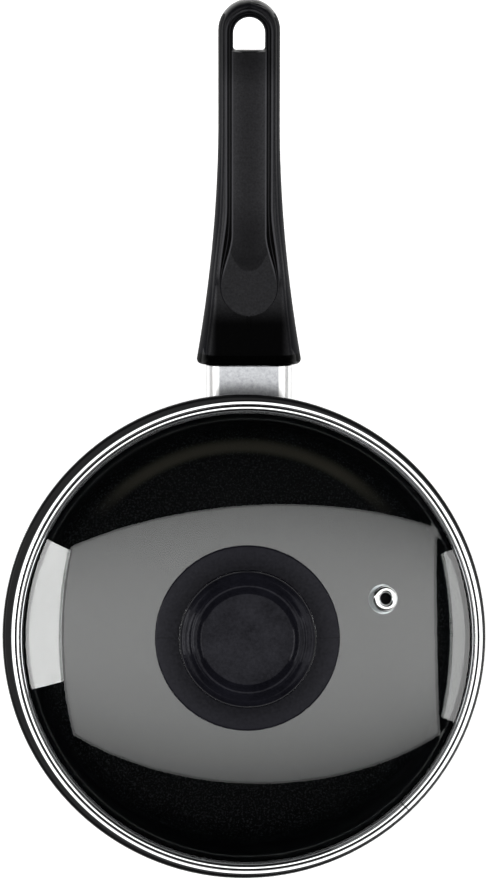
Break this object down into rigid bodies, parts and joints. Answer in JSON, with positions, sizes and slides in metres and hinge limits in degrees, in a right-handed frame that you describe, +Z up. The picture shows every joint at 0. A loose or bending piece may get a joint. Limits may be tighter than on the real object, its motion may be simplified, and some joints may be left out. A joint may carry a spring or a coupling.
{
  "type": "saucepan with glass lid",
  "caption": "Round non-stick saucepan with one long moulded handle, a domed glass lid with a rolled steel band, a steam vent and a round moulded knob.",
  "frame": {"origin": "centre of the pan's base, on the surface it stands on", "axes": "+Z up along the pan's axis, +Y from the pan towards the end of the handle, +X to the right seen from above with the handle pointing away"},
  "size_m": [0.1872, 0.3412, 0.1402],
  "materials": {
    "coated_aluminium": "black non-stick coating inside and out, bare turned aluminium underside",
    "phenolic_handle": "satin moulded phenolic with a fine grain",
    "phenolic_knob": "glossy moulded phenolic",
    "bracket_steel": "zinc-plated pressed steel",
    "ferrule_steel": "aluminised pressed steel, faint spangle",
    "band_steel": "bright roll-formed stainless steel",
    "screw_steel": "bright zinc",
    "brass": "knurled, moulded in",
    "silicone": "black silicone",
    "lid_glass": "clear tempered glass"
  },
  "bodies": {
    "pan": {"pan_body": "coated_aluminium", "handle_bracket": "bracket_steel", "flame_guard": "ferrule_steel", "handle": "phenolic_handle", "handle_insert": "brass", "handle_lock_washer": "screw_steel", "handle_screw": "screw_steel"},
    "lid": {"lid_glass": "lid_glass", "lid_rim": "band_steel", "vent_eyelet": "band_steel", "vent_washer": "band_steel", "knob": "phenolic_knob", "knob_insert": "brass", "lid_gasket": "silicone", "lid_washer": "screw_steel", "lid_spring_washer": "screw_steel", "lid_screw": "screw_steel"}
  },
  "joints": [
    {"name": "lid_lift", "type": "slide", "parent": "pan", "child": "lid", "axis": [0, 0, 1], "range_m": [0, 0.15]}
  ]
}
